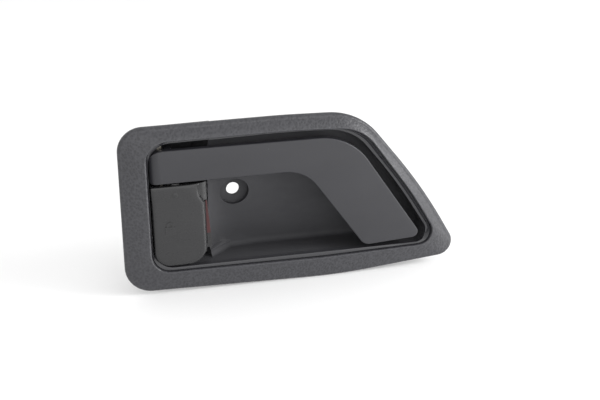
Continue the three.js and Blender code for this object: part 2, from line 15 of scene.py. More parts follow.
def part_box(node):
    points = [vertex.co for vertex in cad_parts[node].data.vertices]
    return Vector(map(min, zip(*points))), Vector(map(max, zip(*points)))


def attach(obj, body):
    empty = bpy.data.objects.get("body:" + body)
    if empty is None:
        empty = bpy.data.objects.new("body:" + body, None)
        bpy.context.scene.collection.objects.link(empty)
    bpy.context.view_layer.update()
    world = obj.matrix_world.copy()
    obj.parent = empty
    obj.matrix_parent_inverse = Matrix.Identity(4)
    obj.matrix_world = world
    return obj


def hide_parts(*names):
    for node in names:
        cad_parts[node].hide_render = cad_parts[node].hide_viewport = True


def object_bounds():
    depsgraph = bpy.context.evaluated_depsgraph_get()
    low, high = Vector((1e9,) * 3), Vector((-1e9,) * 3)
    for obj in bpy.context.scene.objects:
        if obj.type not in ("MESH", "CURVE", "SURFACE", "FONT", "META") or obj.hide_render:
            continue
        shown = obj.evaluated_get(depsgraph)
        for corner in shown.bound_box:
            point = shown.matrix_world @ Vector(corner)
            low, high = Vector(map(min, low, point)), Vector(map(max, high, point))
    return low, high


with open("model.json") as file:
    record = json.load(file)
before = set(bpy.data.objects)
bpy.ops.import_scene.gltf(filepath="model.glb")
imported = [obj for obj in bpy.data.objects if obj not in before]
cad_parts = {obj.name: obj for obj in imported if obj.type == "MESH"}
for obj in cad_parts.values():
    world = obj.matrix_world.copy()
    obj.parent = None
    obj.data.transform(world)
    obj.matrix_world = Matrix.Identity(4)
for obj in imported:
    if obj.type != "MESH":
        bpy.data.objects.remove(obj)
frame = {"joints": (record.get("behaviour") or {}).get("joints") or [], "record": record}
cad_low, cad_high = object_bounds()

MM = 0.001
MERGE = 0.002 * MM


def box_mm(node):
    """The lowest and highest corners of a CAD node, in millimetres."""
    low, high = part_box(node)
    return low / MM, high / MM


# ---------------------------------------------------------------- driving dimensions

PIN_LOW, PIN_HIGH = box_mm("hinge_pin")
CRANK_LOW, CRANK_HIGH = box_mm("lever_crank")
MARKER_LOW, MARKER_HIGH = box_mm("unlocked_marker")

JOINT_AT = {joint["name"]: Vector(joint["pos_m"]) / MM for joint in frame["joints"]}
HINGE = JOINT_AT["lever_pull"]
CRANK_EYE = JOINT_AT["latch_clip_swivel"]
ARM_EYE = JOINT_AT["lock_clip_swivel"]

# Depths of the main faces. The trim that the flange rests on is at 0.
CREASE_Y = box_mm("bezel")[0].y
TRIM_Y = box_mm("bezel")[1].y
FACE_Y = box_mm("pull_lever")[0].y
LEVER_BACK_Y = FACE_Y + 2.8
LIP_Y = -3.4
CUP_BACK_Y = 18.0
BOSS_BACK_Y = box_mm("housing")[1].y

# Past the handle on every side, and past its front and its back.
FAR = 150.0
AHEAD_Y, BEHIND_Y = -15.0, 50.0

# The clearance between pieces, the moulding's wall, and the least radius of a corner.
GAP = 0.3
WALL = 2.2
SHARPEST = 0.05

# The pocket's floor at the height of the screw, its lean, and the curve at its left end: x, y, radius.
FLOOR_Y = 10.0
FLOOR_LEAN = 0.24
SWEEP = (8.0, -6.0, 24.0)

# Radii about the hinge and the eyes, and heights of the knob's arm and of the shelf over the knob.
PIN_RADIUS = (PIN_HIGH.y - PIN_LOW.y) / 2 - 0.8
BUSH_BORE = 2.65
EYE_RADIUS, EYE_BORE = 5, 2.6
KNOB_HUB_RADIUS = 3.8
SKIRT_RADIUS = 21.2
WELL_RADIUS = SKIRT_RADIUS + 0.7
ARM_LOW, ARM_HIGH = -10.5, -7.5
SHELF_LOW, SHELF_HIGH = 9.9, 11.2

# Outlines from the front, anticlockwise, each corner as (x, z, corner radius).
FLANGE = [
    (-51.8, -39.3, 12), (46, -41.5, 280), (105, -36.3, 7), (85.4, -1.8, 260),
    (55, 36.4, 30), (21, 37.3, 400), (-51.3, 36.8, 11),
]
CREASE = [
    (-40.6, -30.2, 9.2), (32, -31.2, 300), (95, -29.6, 7), (82, -6.4, 220),
    (56.1, 29.8, 20.4), (28, 31.5, 400), (-40.6, 30.9, 10.8),
]
SEAM = [
    (-39.5, -29.7, 8.2), (38, -30.5, 300), (93.9, -29.2, 6.4), (80.2, -5, 220),
    (55.4, 29.2, 21), (27, 30.8, 400), (-39.5, 30.3, 8.4),
]
CUP = [
    (-39.0, -28.4, 9.4), (47, -28.5, 300), (91.6, -28.5, 5.4), (72.6, 2.5, 250),
    (52, 28.6, 23.0), (25, 29.9, 400), (-39.0, 28.9, 10.0),
]
LEVER = [
    (-38.9, 11.7, 1.5), (29.4, 12.2, 17.7), (57, -26.6, 5.4),
    (84.8, -24.9, 2.8), (50.4, 26.6, 27), (-38.9, 26.6, 6.4),
]
KNOB = [
    (-38.4, -27.5, 7), (-15, -27.3, 7.8), (-15.1, 1.2, 1.2),
    (-17.3, 5.2, 0.8), (-17.3, 10.3, 0.5), (-38.4, 10.2, 0.5),
]
KNOB_RIGHT = KNOB[1][0]


# ---------------------------------------------------------------- outlines

def fraction(value, start, end):
    """How far a value is on the way from a start to an end, held between 0 and 1."""
    return max(0.0, min(1.0, (value - start) / (end - start)))


def quarter_turn(steps):
    """The sine and cosine of evenly spaced angles over a quarter turn."""
    angles = [math.pi / 2 * step / steps for step in range(steps + 1)]
    return [(math.sin(angle), math.cos(angle)) for angle in angles]


def edges_at(corners, index):
    """The unit vectors of the edges into and out of a corner, and the side that they turn to."""
    count = len(corners)
    here = Vector(corners[index][:2])
    into = (here - Vector(corners[index - 1][:2])).normalized()
    out = (Vector(corners[(index + 1) % count][:2]) - here).normalized()
    side = 1 if into.x * out.y - into.y * out.x > 0 else -1
    return into, out, side


def inset(corners, distance):
    """The same corners moved in by a distance, or out by a negative one."""
    moved = []
    for index, (x, z, radius) in enumerate(corners):
        into, out, side = edges_at(corners, index)
        scale = distance / (1 + into.dot(out))
        x_new = x - (into.y + out.y) * scale
        z_new = z + (into.x + out.x) * scale
        moved.append((x_new, z_new, max(radius - side * distance, SHARPEST)))
    return moved


def outline(corners, distance=0.0, arc_steps=14, line_steps=5):
    """Points round rounded corners, with a fixed number on each arc and each straight."""
    shape = inset(corners, distance)
    arcs = []
    for index, (x, z, radius) in enumerate(shape):
        into, out, side = edges_at(shape, index)
        turn = math.acos(max(-1.0, min(1.0, into.dot(out))))
        start = Vector((x, z)) - into * radius * math.tan(turn / 2)
        centre = start + Vector((-into.y, into.x)) * radius * side
        first = math.atan2(start.y - centre.y, start.x - centre.x)
        angles = [first + side * turn * step / arc_steps for step in range(arc_steps + 1)]
        arcs.append([centre + radius * Vector((math.cos(a), math.sin(a))) for a in angles])
    points = []
    for index, arc in enumerate(arcs):
        following = arcs[(index + 1) % len(arcs)][0]
        points += arc
        points += [arc[-1].lerp(following, step / line_steps) for step in range(1, line_steps)]
    return points


def arc_points(centre_x, centre_y, radius, start, end, steps):
    """Points along an arc in a plane, from one angle in degrees to another."""
    points = []
    for step in range(steps + 1):
        angle = math.radians(start + (end - start) * step / steps)
        x = centre_x + radius * math.cos(angle)
        y = centre_y + radius * math.sin(angle)
        points.append(Vector((x, y)))
    return points


def bar(x1, y1, x2, y2, radius):
    """A bar with round ends between two points."""
    bearing = math.degrees(math.atan2(y2 - y1, x2 - x1))
    far_end = arc_points(x2, y2, radius, bearing - 90, bearing + 90, 20)
    return far_end + arc_points(x1, y1, radius, bearing + 90, bearing + 270, 20)


def rectangle(x1, y1, x2, y2):
    """The corners of a rectangle, anticlockwise."""
    return [Vector((x1, y1)), Vector((x2, y1)), Vector((x2, y2)), Vector((x1, y2))]


def ring_sector(inner, outer, start, end, steps=40):
    """Part of a ring about the hinge in plan, between two angles in degrees."""
    outside = arc_points(HINGE.x, HINGE.y, outer, start, end, steps)
    return outside + arc_points(HINGE.x, HINGE.y, inner, end, start, steps)


def smooth_path(points, steps):
    """A Catmull-Rom curve through points, with the given number of steps between neighbours."""
    ends = [points[0] * 2 - points[1]] + list(points) + [points[-1] * 2 - points[-2]]
    path = []
    for p0, p1, p2, p3 in zip(ends, ends[1:], ends[2:], ends[3:]):
        for step in range(steps):
            t = step / steps
            path.append(0.5 * (
                2 * p1 + (p2 - p0) * t + (2 * p0 - 5 * p1 + 4 * p2 - p3) * t * t
                + (3 * p1 - p0 - 3 * p2 + p3) * t * t * t
            ))
    return path + [points[-1]]


def heading(path, index):
    """The direction of a path at one of its points."""
    return (path[min(index + 1, len(path) - 1)] - path[max(index - 1, 0)]).normalized()


# ---------------------------------------------------------------- meshes

def make_mesh(name, points, faces):
    """An object from points in millimetres, with its faces turned outwards."""
    mesh = bpy.data.meshes.new(name)
    mesh.from_pydata([tuple(Vector(point) * MM) for point in points], [], faces)
    work = bmesh.new()
    work.from_mesh(mesh)
    bmesh.ops.remove_doubles(work, verts=work.verts, dist=1e-7)
    bmesh.ops.recalc_face_normals(work, faces=work.faces)
    work.to_mesh(mesh)
    work.free()
    piece = bpy.data.objects.new(name, mesh)
    bpy.context.scene.collection.objects.link(piece)
    return piece


def place(point, axis, height):
    """A flat point lifted into space along X, Y or Z."""
    u, v = point
    return {"X": (height, u, v), "Y": (u, height, v), "Z": (u, v, height)}[axis]


def skin(count, rows, closed=False):
    """Faces between neighbouring rings, and from the last ring to the first if closed."""
    faces = []
    for row in range(rows if closed else rows - 1):
        here = row * count
        there = (row + 1) % rows * count
        for i in range(count):
            j = (i + 1) % count
            faces.append((here + i, here + j, there + j, there + i))
    return faces


def loft(name, rings, closed=False):
    """A skin over matching rings. Closed joins the last to the first; otherwise the ends are capped."""
    count = len(rings[0])
    points = [point for ring in rings for point in ring]
    faces = skin(count, len(rings), closed)
    if not closed:
        faces.append(tuple(range(count)))
        faces.append(tuple(range(len(points) - count, len(points))))
    return make_mesh(name, points, faces)


def clear_of(point, ring, distance):
    """Whether a point keeps a distance from a ring's own points."""
    return all((point - other).length_squared > distance ** 2 for other in ring)


def filled_ring(ring, spacing, depth_at):
    """Triangles across a flat ring, with inner points on a grid, as (points, faces)."""
    low_x, high_x = min(p.x for p in ring), max(p.x for p in ring)
    low_z, high_z = min(p.y for p in ring), max(p.y for p in ring)
    grid = []
    for column in range(int((high_x - low_x) / spacing)):
        for row in range(int((high_z - low_z) / spacing)):
            grid.append(Vector((low_x + (column + 0.5) * spacing, low_z + (row + 0.5) * spacing)))
    grid = [point for point in grid if clear_of(point, ring, spacing * 0.6)]
    border = [tuple(range(len(ring)))]
    points, _, faces, *_ = delaunay_2d_cdt(list(ring) + grid, [], border, 1, 1e-5)
    return [(p.x, depth_at(p.x, p.y), p.y) for p in points], [tuple(face) for face in faces]


def shaped_end(name, rings, border, spacing, depth_at):
    """A skin over rings, flat across the first ring and shaped by a depth formula across the last."""
    count = len(rings[0])
    points = [point for ring in rings for point in ring]
    end_points, end_faces = filled_ring(border, spacing, depth_at)
    faces = [tuple(range(count))] + skin(count, len(rings))
    faces += [tuple(len(points) + index for index in face) for face in end_faces]
    return make_mesh(name, points + end_points, faces)


def prism(points, axis, low, high, name="prism"):
    """A flat outline carried from one height to another along an axis."""
    return loft(name, [[place(point, axis, height) for point in points] for height in (low, high)])


def block(x1, y1, z1, x2, y2, z2):
    """A block between two opposite corners."""
    return prism(rectangle(x1, y1, x2, y2), "Z", z1, z2)


def turned(name, profile, centre, axis="Z", hollow=False, sides=56):
    """A solid turned about an axis through a flat centre, from a profile of (radius, height)."""
    rings = []
    for radius, height in profile:
        circle = arc_points(centre[0], centre[1], radius, 0, 360, sides)[:-1]
        rings.append([place(point, axis, height) for point in circle])
    return loft(name, rings, closed=hollow)


def rod(centre, radius, low, high, axis="Z", sides=64):
    """A plain cylinder, used to cut or to join."""
    return turned("rod", [(radius, low), (radius, high)], centre, axis, sides=sides)


def hinge_rod(radius, low, high, sides=64):
    """A cylinder on the hinge's axis."""
    return rod((HINGE.x, HINGE.y), radius, low, high, sides=sides)


def eased(radius, low, high, ease, steps=4):
    """A profile up a solid cylinder whose two rims are rounded."""
    lower = arc_points(radius - ease, low + ease, ease, -90, 0, steps)
    upper = arc_points(radius - ease, high - ease, ease, 0, 90, steps)
    return lower + upper


def tube_profile(inner, outer, low, high, ease):
    """A closed profile of a sleeve with rounded rims."""
    corners = [(inner, low, ease), (outer, low, ease), (outer, high, ease), (inner, high, ease)]
    return outline(corners, arc_steps=4, line_steps=1)


def swept(name, path, radius, sides=14):
    """A round wire along a path."""
    rings = []
    side = None
    for index, point in enumerate(path):
        ahead = heading(path, index)
        if side is None:
            side = ahead.orthogonal().normalized()
        side = (side - ahead * side.dot(ahead)).normalized()
        other = ahead.cross(side)
        turns = [2 * math.pi * step / sides for step in range(sides)]
        rings.append([point + radius * (side * math.cos(a) + other * math.sin(a)) for a in turns])
    return loft(name, rings)


def combine(piece, operation, others):
    """Joins, cuts or intersects a piece with others, which are used up."""
    for other in others:
        step = piece.modifiers.new("combine", "BOOLEAN")
        step.operation = operation
        step.solver = "EXACT"
        step.object = other
    bake_modifiers(piece)
    for other in others:
        bpy.data.objects.remove(other)
    return piece


def bake_modifiers(piece):
    """Replaces a piece's mesh with what its modifiers make of it, and tidies the result."""
    graph = bpy.context.evaluated_depsgraph_get()
    mesh = bpy.data.meshes.new_from_object(piece.evaluated_get(graph))
    piece.modifiers.clear()
    work = bmesh.new()
    work.from_mesh(mesh)
    bmesh.ops.remove_doubles(work, verts=work.verts, dist=MERGE)
    bmesh.ops.dissolve_degenerate(work, edges=work.edges, dist=MERGE)
    work.to_mesh(mesh)
    work.free()
    piece.data = mesh


def cut(piece, *others):
    """Cuts the others out of a piece."""
    return combine(piece, "DIFFERENCE", others)


def join(piece, *others):
    """Joins the others to a piece."""
    return combine(piece, "UNION", others)


def keep(piece, *others):
    """Keeps what a piece shares with the others."""
    return combine(piece, "INTERSECT", others)


def soften(piece, width=0.0, segments=3, angle=35):
    """Smooth shading and, if a width is given, a rounding on every edge sharper than an angle."""
    piece.data.shade_smooth()
    if width:
        bevel = piece.modifiers.new("rounded edges", "BEVEL")
        bevel.width = width * MM
        bevel.segments = segments
        bevel.limit_method = "ANGLE"
        bevel.angle_limit = math.radians(angle)
        bevel.use_clamp_overlap = True
        bevel.miter_outer = "MITER_ARC"
        bevel.harden_normals = True
    else:
        normals = piece.modifiers.new("even shading", "WEIGHTED_NORMAL")
        normals.weight = 100
    return piece


# ---------------------------------------------------------------- bezel

def level(corners, distance, y):
    """An outline at a depth."""
    return [place(point, "Y", y) for point in outline(corners, distance)]


def between(first, second, share, lift=0.0):
    """A ring part of the way between two others, lifted towards the front."""
    return [Vector(a).lerp(Vector(b), share) - Vector((0, lift, 0)) for a, b in zip(first, second)]


def bezel_rim():
    """Rings up the rounded outer rim, from the trim to the foot of the slope."""
    radius = 1.6
    centre_y = -0.7
    inside_box = 0.03
    rings = [level(FLANGE, inside_box, TRIM_Y)]
    for inset_by, y in arc_points(radius, centre_y, radius, 180, 270, 8):
        rings.append(level(FLANGE, inset_by + inside_box, y))
    return rings


def bezel_slope(foot, head):
    """Rings up the slope, which is slightly crowned."""
    crown = 0.18
    shares = (0.02, 0.12, 0.3, 0.5, 0.7, 0.88, 0.98, 1.0)
    return [between(foot, head, share, crown * math.sin(math.pi * share)) for share in shares]


def bezel():
    """The grained flange: rounded rim, gentle slope up to a rolled crease, and a turned-in opening."""
    crease_y = CREASE_Y + 0.02
    crease_inset = 0.1
    roll_depth = 1.4
    skin_y = -2.0
    rings = bezel_rim()
    rings += bezel_slope(rings[-1], level(CREASE, crease_inset, crease_y))
    for sine, cosine in quarter_turn(9)[1:]:
        y = crease_y + roll_depth * (1 - cosine)
        rings.append(between(level(CREASE, crease_inset, y), level(SEAM, 0, y), sine))
    rings.append(level(SEAM, 0, skin_y))
    rings.append(level(FLANGE, WALL, skin_y))
    rings.append(level(FLANGE, WALL, TRIM_Y))
    return soften(loft("bezel_skin", rings, closed=True))


# ---------------------------------------------------------------- housing

def blend_min(a, b, reach):
    """The smaller of two values, with a smooth change from one to the other."""
    share = fraction(b - a, -reach, reach)
    return b * (1 - share) + a * share - reach * share * (1 - share)


def pocket_depth(x, z):
    """Depth of the pocket's floor: it leans, and rises in a wide curve to its left end."""
    sweep_x, sweep_y, sweep_radius = SWEEP
    blend = 4.0
    run = min(0.0, x - sweep_x)
    rise = sweep_y + math.sqrt(max(sweep_radius ** 2 - run ** 2, 0.0))
    return blend_min(FLOOR_Y - FLOOR_LEAN * z, rise, blend)


def pocket_space():
    """The finger pocket: upright walls, a fillet all round, and the leaning floor."""
    fillet = 2.8
    left, left_radius = -17.0, 3.0
    spacing = 2.0
    corners = [(left, CUP[0][1], left_radius)] + CUP[1:6] + [(left, CUP[6][1], left_radius)]
    rings = [level(corners, 0, AHEAD_Y)]
    for sine, cosine in quarter_turn(8):
        ring = outline(corners, fillet * (1 - cosine))
        sink = fillet * (1 - sine)
        rings.append([(p.x, pocket_depth(p.x, p.y) - sink, p.y) for p in ring])
    return shaped_end("pocket", rings, outline(corners, fillet), spacing, pocket_depth)


def above_lip_bottom(z):
    """How far a height has left the lip's straight bottom, from 0 to 1."""
    return fraction(z, -27.5, -22.5)


def lip_edge_depth(x, z):
    """Depth of the lip's inner edge: almost flat below, slanting on the left, steep elsewhere."""
    flat, slanting, steep = 0.3, 0.8, 3.0
    past_hinge = fraction(x, -34, -28)
    return LIP_Y + flat + above_lip_bottom(z) * (slanting + (steep - slanting) * past_hinge)


def lip_front(distance, sink):
    """A ring near the lip's outer edge, set back at the sides and proud of the seam below."""
    set_back = 0.7
    ring = outline(SEAM, distance)
    return [(p.x, LIP_Y + sink + set_back * above_lip_bottom(p.y), p.y) for p in ring]


def flange_plate():
    """The ledge behind the bezel and the smooth lip inside its opening, still closed across."""
    ledge_y = -1.7
    ledge_inset = WALL + GAP + 0.1
    seam_gap = 0.2
    round_over = 0.3
    back_inset = 1.2
    rings = [
        level(FLANGE, ledge_inset, TRIM_Y),
        level(FLANGE, ledge_inset, ledge_y),
        level(SEAM, seam_gap, ledge_y),
    ]
    for inset_by, sink in arc_points(round_over, round_over, round_over, 180, 270, 4):
        rings.append(lip_front(seam_gap + inset_by, sink))
    rings.append([(p.x, lip_edge_depth(p.x, p.y), p.y) for p in outline(CUP)])
    rings.append(level(CUP, back_inset, 0))
    return loft("flange", rings)


def behind_floor():
    """The space behind the pocket's outer skin, right of the screw boss."""
    left = -9
    low_y, high_y = [FLOOR_Y - FLOOR_LEAN * z + WALL for z in (-FAR, FAR)]
    wedge = [Vector((low_y, -FAR)), Vector((FAR, -FAR)), Vector((FAR, FAR)), Vector((high_y, FAR))]
    return prism(wedge, "X", left, FAR)


def cup_column(distance, front_y, back_y=BEHIND_Y, name="column"):
    """The cup's outline, moved in by a distance and carried between two depths."""
    return prism(outline(CUP, distance), "Y", front_y, back_y, name)


def well_space():
    """The well round the hinge, open to the back so that the cranks can pass."""
    half_height = FAR / 2
    inside_cup = 0.04
    well = hinge_rod(WELL_RADIUS, -half_height, half_height, sides=160)
    return keep(well, cup_column(inside_cup, AHEAD_Y))


def well_back():
    """The wall across the back of the hinge well, with a slot for each crank."""
    wall_left, wall_right = -41, -10
    slot_front, slot_back, slot_right = 10, 30, -5
    wall = block(wall_left, CUP_BACK_Y - WALL, -40, wall_right, CUP_BACK_Y - 0.05, 40)
    keep(wall, cup_column(-1, 0))
    crank_slot = block(-38.3, slot_front, SHELF_HIGH, slot_right, slot_back, 20.1)
    arm_slot = block(-36.4, slot_front, -12.5, slot_right, slot_back, -5.5)
    return cut(wall, crank_slot, arm_slot)


def screw_recess():
    """The round recess for the screw's head, its hole, and the wider bore behind."""
    recess, bore, relief = 6.7, 3.0, 5.4
    seat_y, web = 13.7, 1.5
    profile = [
        (recess, -5), (recess, seat_y - 0.7), (recess - 0.2, seat_y - 0.2), (recess - 0.7, seat_y),
    ]
    return (
        turned("recess", profile, (0, 0), "Y", sides=72),
        rod((0, 0), bore, 10, 40, "Y"),
        rod((0, 0), relief, seat_y + web, BEHIND_Y, "Y"),
    )


def outer_features():
    """The screw's boss, the ribs behind the floor, and the hook below the cut-out."""
    half_rib = 0.8
    boss = turned("boss", eased(9.2, 6, BOSS_BACK_Y, 0.8), (0, 0), "Y")
    ribs = [block(x - half_rib, 4, -28, x + half_rib, CUP_BACK_Y - 0.1, 24) for x in (22, 40, 58)]
    hook = block(60, 2.4, -37.5, 72, 4.6, -30)
    return [boss, *ribs, hook]


def inner_features():
    """What the moving parts meet: the lever's rest, the well's back, the shelf and its stops."""
    rest_post = turned("post", eased(3.6, 1.5, 7, 0.4), (47, 17), "Y")
    shelf = block(-40, 6.2, SHELF_LOW, -14, CUP_BACK_Y - 0.1, SHELF_HIGH)
    keep(shelf, cup_column(-1, 0))
    stop_post = turned("post", eased(1.6, SHELF_HIGH - 1, 17.4, 0.3), (-22, 8.3))
    spring_stop = block(-35.6, 10, 20.3, -33.6, CUP_BACK_Y - 0.2, 29.5)
    return [rest_post, well_back(), shelf, stop_post, spring_stop]


def pin_bores():
    """The pin's bore, and the wider bores for its head and its push nut."""
    end_radius = 2.7
    return [
        hinge_rod(PIN_RADIUS + 0.15, -60, 60),
        hinge_rod(end_radius, 31, 60),
        hinge_rod(end_radius, -60, -31.1),
    ]


def housing():
    """The moulded housing: flange ledge, pocket, screw boss, hinge well and its stops."""
    body = cup_column(-WALL, -1.6, CUP_BACK_Y, "housing_shell")
    cut(body, behind_floor())
    join(body, flange_plate(), *outer_features())
    cut(body, pocket_space(), well_space())
    join(body, *inner_features())
    cut(body, *screw_recess(), *pin_bores())
    return soften(body, 0.25, 3, 38)


# ---------------------------------------------------------------- hinge parts

def hinge_pin():
    """The steel pin: a rounded head above and a chamfered end below."""
    head_radius = (PIN_HIGH.x - PIN_LOW.x) / 2
    head_foot = PIN_HIGH.z - 1
    easing = 0.4
    profile = [
        Vector((0.9, PIN_LOW.z)),
        Vector((PIN_RADIUS, PIN_LOW.z + 0.6)),
        Vector((PIN_RADIUS, head_foot)),
        Vector((head_radius, head_foot)),
        *arc_points(head_radius - easing, PIN_HIGH.z - 0.45, easing, 0, 90, 5),
    ]
    return soften(turned("hinge_pin_steel", profile, (HINGE.x, HINGE.y)))


def push_nut():
    """The push nut: a thin dished washer."""
    low, high = box_mm("pin_push_nut")
    outer = (high.x - low.x) / 2
    inner = PIN_RADIUS + 0.1
    profile = [
        (inner, low.z), (inner + 0.25, low.z), (outer, high.z - 0.35),
        (outer, high.z), (inner + 0.4, high.z - 0.05), (inner, low.z + 0.3),
    ]
    return soften(turned("push_nut_steel", profile, (HINGE.x, HINGE.y), hollow=True), 0.08, 2)


def return_spring():
    """The torsion spring that closes the lever: one leg on the lever, one on the housing."""
    radius, wire = 2.7, 0.4
    bottom, top = 16.4, 21.9
    turns = 4.375
    steps = 96
    leg_y = LEVER_BACK_Y + GAP + wire
    points = [Vector((HINGE.x + reach, leg_y, bottom)) for reach in (14, 9, 5)]
    for step in range(steps + 1):
        angle = -math.pi / 4 - 2 * math.pi * turns * step / steps
        height = bottom + (top - bottom) * step / steps
        x = HINGE.x + radius * math.cos(angle)
        y = HINGE.y + radius * math.sin(angle)
        points.append(Vector((x, y, height)))
    points += [Vector((HINGE.x - radius, HINGE.y + reach, top)) for reach in (3, 8, 14)]
    return soften(swept("return_spring_wire", smooth_path(points, 3), wire))


def detent_spring():
    """The bent leaf that clicks the knob into place."""
    low, high = box_mm("lock_detent_spring")
    thickness = 0.5
    foot_x = low.x + thickness / 2
    tip_y = HINGE.y + KNOB_HUB_RADIUS + GAP + thickness / 2
    bends = [
        (foot_x, 6.5), (foot_x, 11), (foot_x + 1, 14.6), (HINGE.x - 2.6, 14.4),
        (HINGE.x - 1.3, 9), (HINGE.x, tip_y), (HINGE.x + 1.4, 8), (HINGE.x + 2.2, 10.6),
    ]
    path = smooth_path([Vector(bend) for bend in bends], 12)
    left, right = [], []
    for index, point in enumerate(path):
        ahead = heading(path, index)
        across = Vector((-ahead.y, ahead.x)) * thickness / 2
        left.append(point + across)
        right.append(point - across)
    return soften(prism(left + right[::-1], "Z", low.z, high.z, "detent_spring_leaf"), 0.1, 2, 50)


def bush(node):
    """A plain bush with eased rims."""
    low, high = box_mm(node)
    profile = tube_profile(PIN_RADIUS + 0.12, (high.x - low.x) / 2, low.z, high.z, 0.25)
    return soften(turned(node + "_sleeve", profile, (HINGE.x, HINGE.y), hollow=True))


# ---------------------------------------------------------------- lever

def lever_section():
    """The lever from above: a flat panel that rolls round the pin at its left end."""
    radius = HINGE.y - FACE_Y
    meet = math.degrees(math.asin((LEVER_BACK_Y - HINGE.y) / radius))
    roll = arc_points(HINGE.x, HINGE.y, radius, 270, meet, 90)
    return [Vector((FAR, FACE_Y))] + roll + [Vector((FAR, LEVER_BACK_Y))]


def lever_blank():
    """The lever's outline carried backwards, with a rounding all round its front."""
    rounding = 0.55
    back_y = 20
    arc_steps = 26
    rings = []
    for inset_by, sink in arc_points(rounding, rounding, rounding, 270, 180, 7):
        ring = outline(LEVER, inset_by, arc_steps)
        rings.append([place(point, "Y", FACE_Y - 0.01 + sink) for point in ring])
    rings.append([place(point, "Y", back_y) for point in outline(LEVER, 0, arc_steps)])
    return loft("blank", rings)


def spring_bay():
    """The space in the lever's hub for the return spring and its legs."""
    low, high = 15.6, 22.8
    return [
        hinge_rod(4, low, high),
        block(HINGE.x - 6, HINGE.y, low + 0.01, HINGE.x + 6, 20, high - 0.01),
        block(HINGE.x, LEVER_BACK_Y + 0.02, low + 0.02, HINGE.x + 8, 20, high - 0.02),
    ]


def rivet_holes():
    """Bores for the two rivets."""
    return [rod((HINGE.x, HINGE.y + reach), 1.05, 10, 20, sides=32) for reach in (10, 15)]


def pull_lever():
    """The L-shaped lever with its hub rolled round the pin and the lug for the crank."""
    lug_length, lug_half_width = 16, 4.2
    lug_low, lug_high = 12.4, 15.2
    body = prism(lever_section(), "Z", -40, 40, "pull_lever_grip")
    keep(body, lever_blank())
    lug = bar(HINGE.x, HINGE.y, HINGE.x, HINGE.y + lug_length, lug_half_width)
    join(body, prism(lug, "Z", lug_low, lug_high))
    cut(body, *spring_bay(), hinge_rod(BUSH_BORE, 0, 40), *rivet_holes())
    return soften(body, 0.34, 4, 40)


def lever_crank():
    """The plated crank, stamped from sheet."""
    low, high = CRANK_LOW.z, CRANK_HIGH.z
    strip = bar(HINGE.x, HINGE.y + 11, HINGE.x, CRANK_EYE.y, 4)
    crank = prism(strip, "Z", low, high, "crank_steel")
    join(crank, rod((CRANK_EYE.x, CRANK_EYE.y), EYE_RADIUS, low + 0.001, high - 0.001))
    cut(crank, rod((CRANK_EYE.x, CRANK_EYE.y), EYE_BORE, 10, 20), *rivet_holes())
    return soften(crank, 0.2, 3)


def rivet(node):
    """A rivet with two domed heads."""
    low, high = box_mm(node)
    centre = (low + high) / 2
    radius = (high.x - low.x) / 2
    dome, tip, shank, head = 0.5, 0.5, 1.0, 0.65
    profile = [
        Vector((tip, low.z)),
        *arc_points(radius - dome, low.z + dome, dome, -80, 0, 4),
        Vector((shank, low.z + head)),
        Vector((shank, high.z - head)),
        *arc_points(radius - dome, high.z - dome, dome, 0, 80, 4),
        Vector((tip, high.z)),
    ]
    return soften(turned(node + "_head", profile, (centre.x, centre.y), sides=40))


# ---------------------------------------------------------------- lock knob

def knob_face_depth(x, z):
    """The front of the knob: flat on the left, rolling back to the right and dished at the notch."""
    set_back = 0.3
    roll_from_x, roll_rate = -28.0, 0.0032
    dish_reach, dish_rate = 3.4, 0.03
    foot, head = Vector(KNOB[2][:2]), Vector(KNOB[3][:2])
    along = (head - foot).normalized()
    offset = Vector((x, z)) - foot
    from_notch = offset.x * -along.y + offset.y * along.x
    roll = max(0.0, x - roll_from_x)
    dish = max(0.0, dish_reach - from_notch)
    return FACE_Y + set_back + roll_rate * roll * roll + dish_rate * dish * dish


def knob_face():
    """The knob's front, with a rolled edge that fades out along the top."""
    reach = 1.8
    spacing = 1.2
    top_drop, more_below = 0.35, 1.25
    rings = [level(KNOB, 0, -1.4)]
    for sine, cosine in quarter_turn(8):
        points = []
        for p in outline(KNOB, reach * (1 - cosine)):
            below_top = fraction(p.y, 9.6, 4.6)
            sink = (top_drop + more_below * below_top) * (1 - sine)
            points.append((p.x, knob_face_depth(p.x, p.y) + sink, p.y))
        rings.append(points)
    return shaped_end("lock_knob_cap", rings, outline(KNOB, reach), spacing, knob_face_depth)


def padlock_sign():
    """A small raised padlock, a generic sign for the lock."""
    x, z = -31.0, -9.5
    half, outer, inner = 2.1, 1.5, 0.9
    bottom, top, shoulder = z - 2.5, z + 1.2, z + 2.0
    front, back = FACE_Y + 0.06, FACE_Y + 0.9
    arch = arc_points(x, shoulder, outer, 0, 180, 20)
    body = [(x - half, top), (x - half, bottom), (x + half, bottom), (x + half, top)]
    shape = [(x + outer, top), *arch, (x - outer, top), *body]
    hole = [(x + inner, top), *arc_points(x, shoulder, inner, 0, 180, 16), (x - inner, top)]
    return cut(prism(shape, "Y", front, back), prism(hole, "Y", front - 1, back + 1))


def raised_dot():
    """The small moulded dot near the knob's top."""
    profile = [(1.2, FACE_Y + 0.8), (1.1, FACE_Y + 0.12), (0.8, FACE_Y + 0.02)]
    return turned("dot", profile, (-28.1, 6.2), "Y", sides=32)


def knob_facet():
    """The slanting facet beside the knob's face."""
    left, right = -19.2, -13.35
    bends = ((-17.5, -1.0), (-15.6, -0.5), (-14.3, 0.2), (right, 1.1))
    front = smooth_path([Vector(bend) for bend in bends], 6)
    plan = [(left, 0.8), (left, -3.6), (-17.5, -3.6), *front, (right, 3.4)]
    return prism(plan, "Z", 1.3, 9.55)


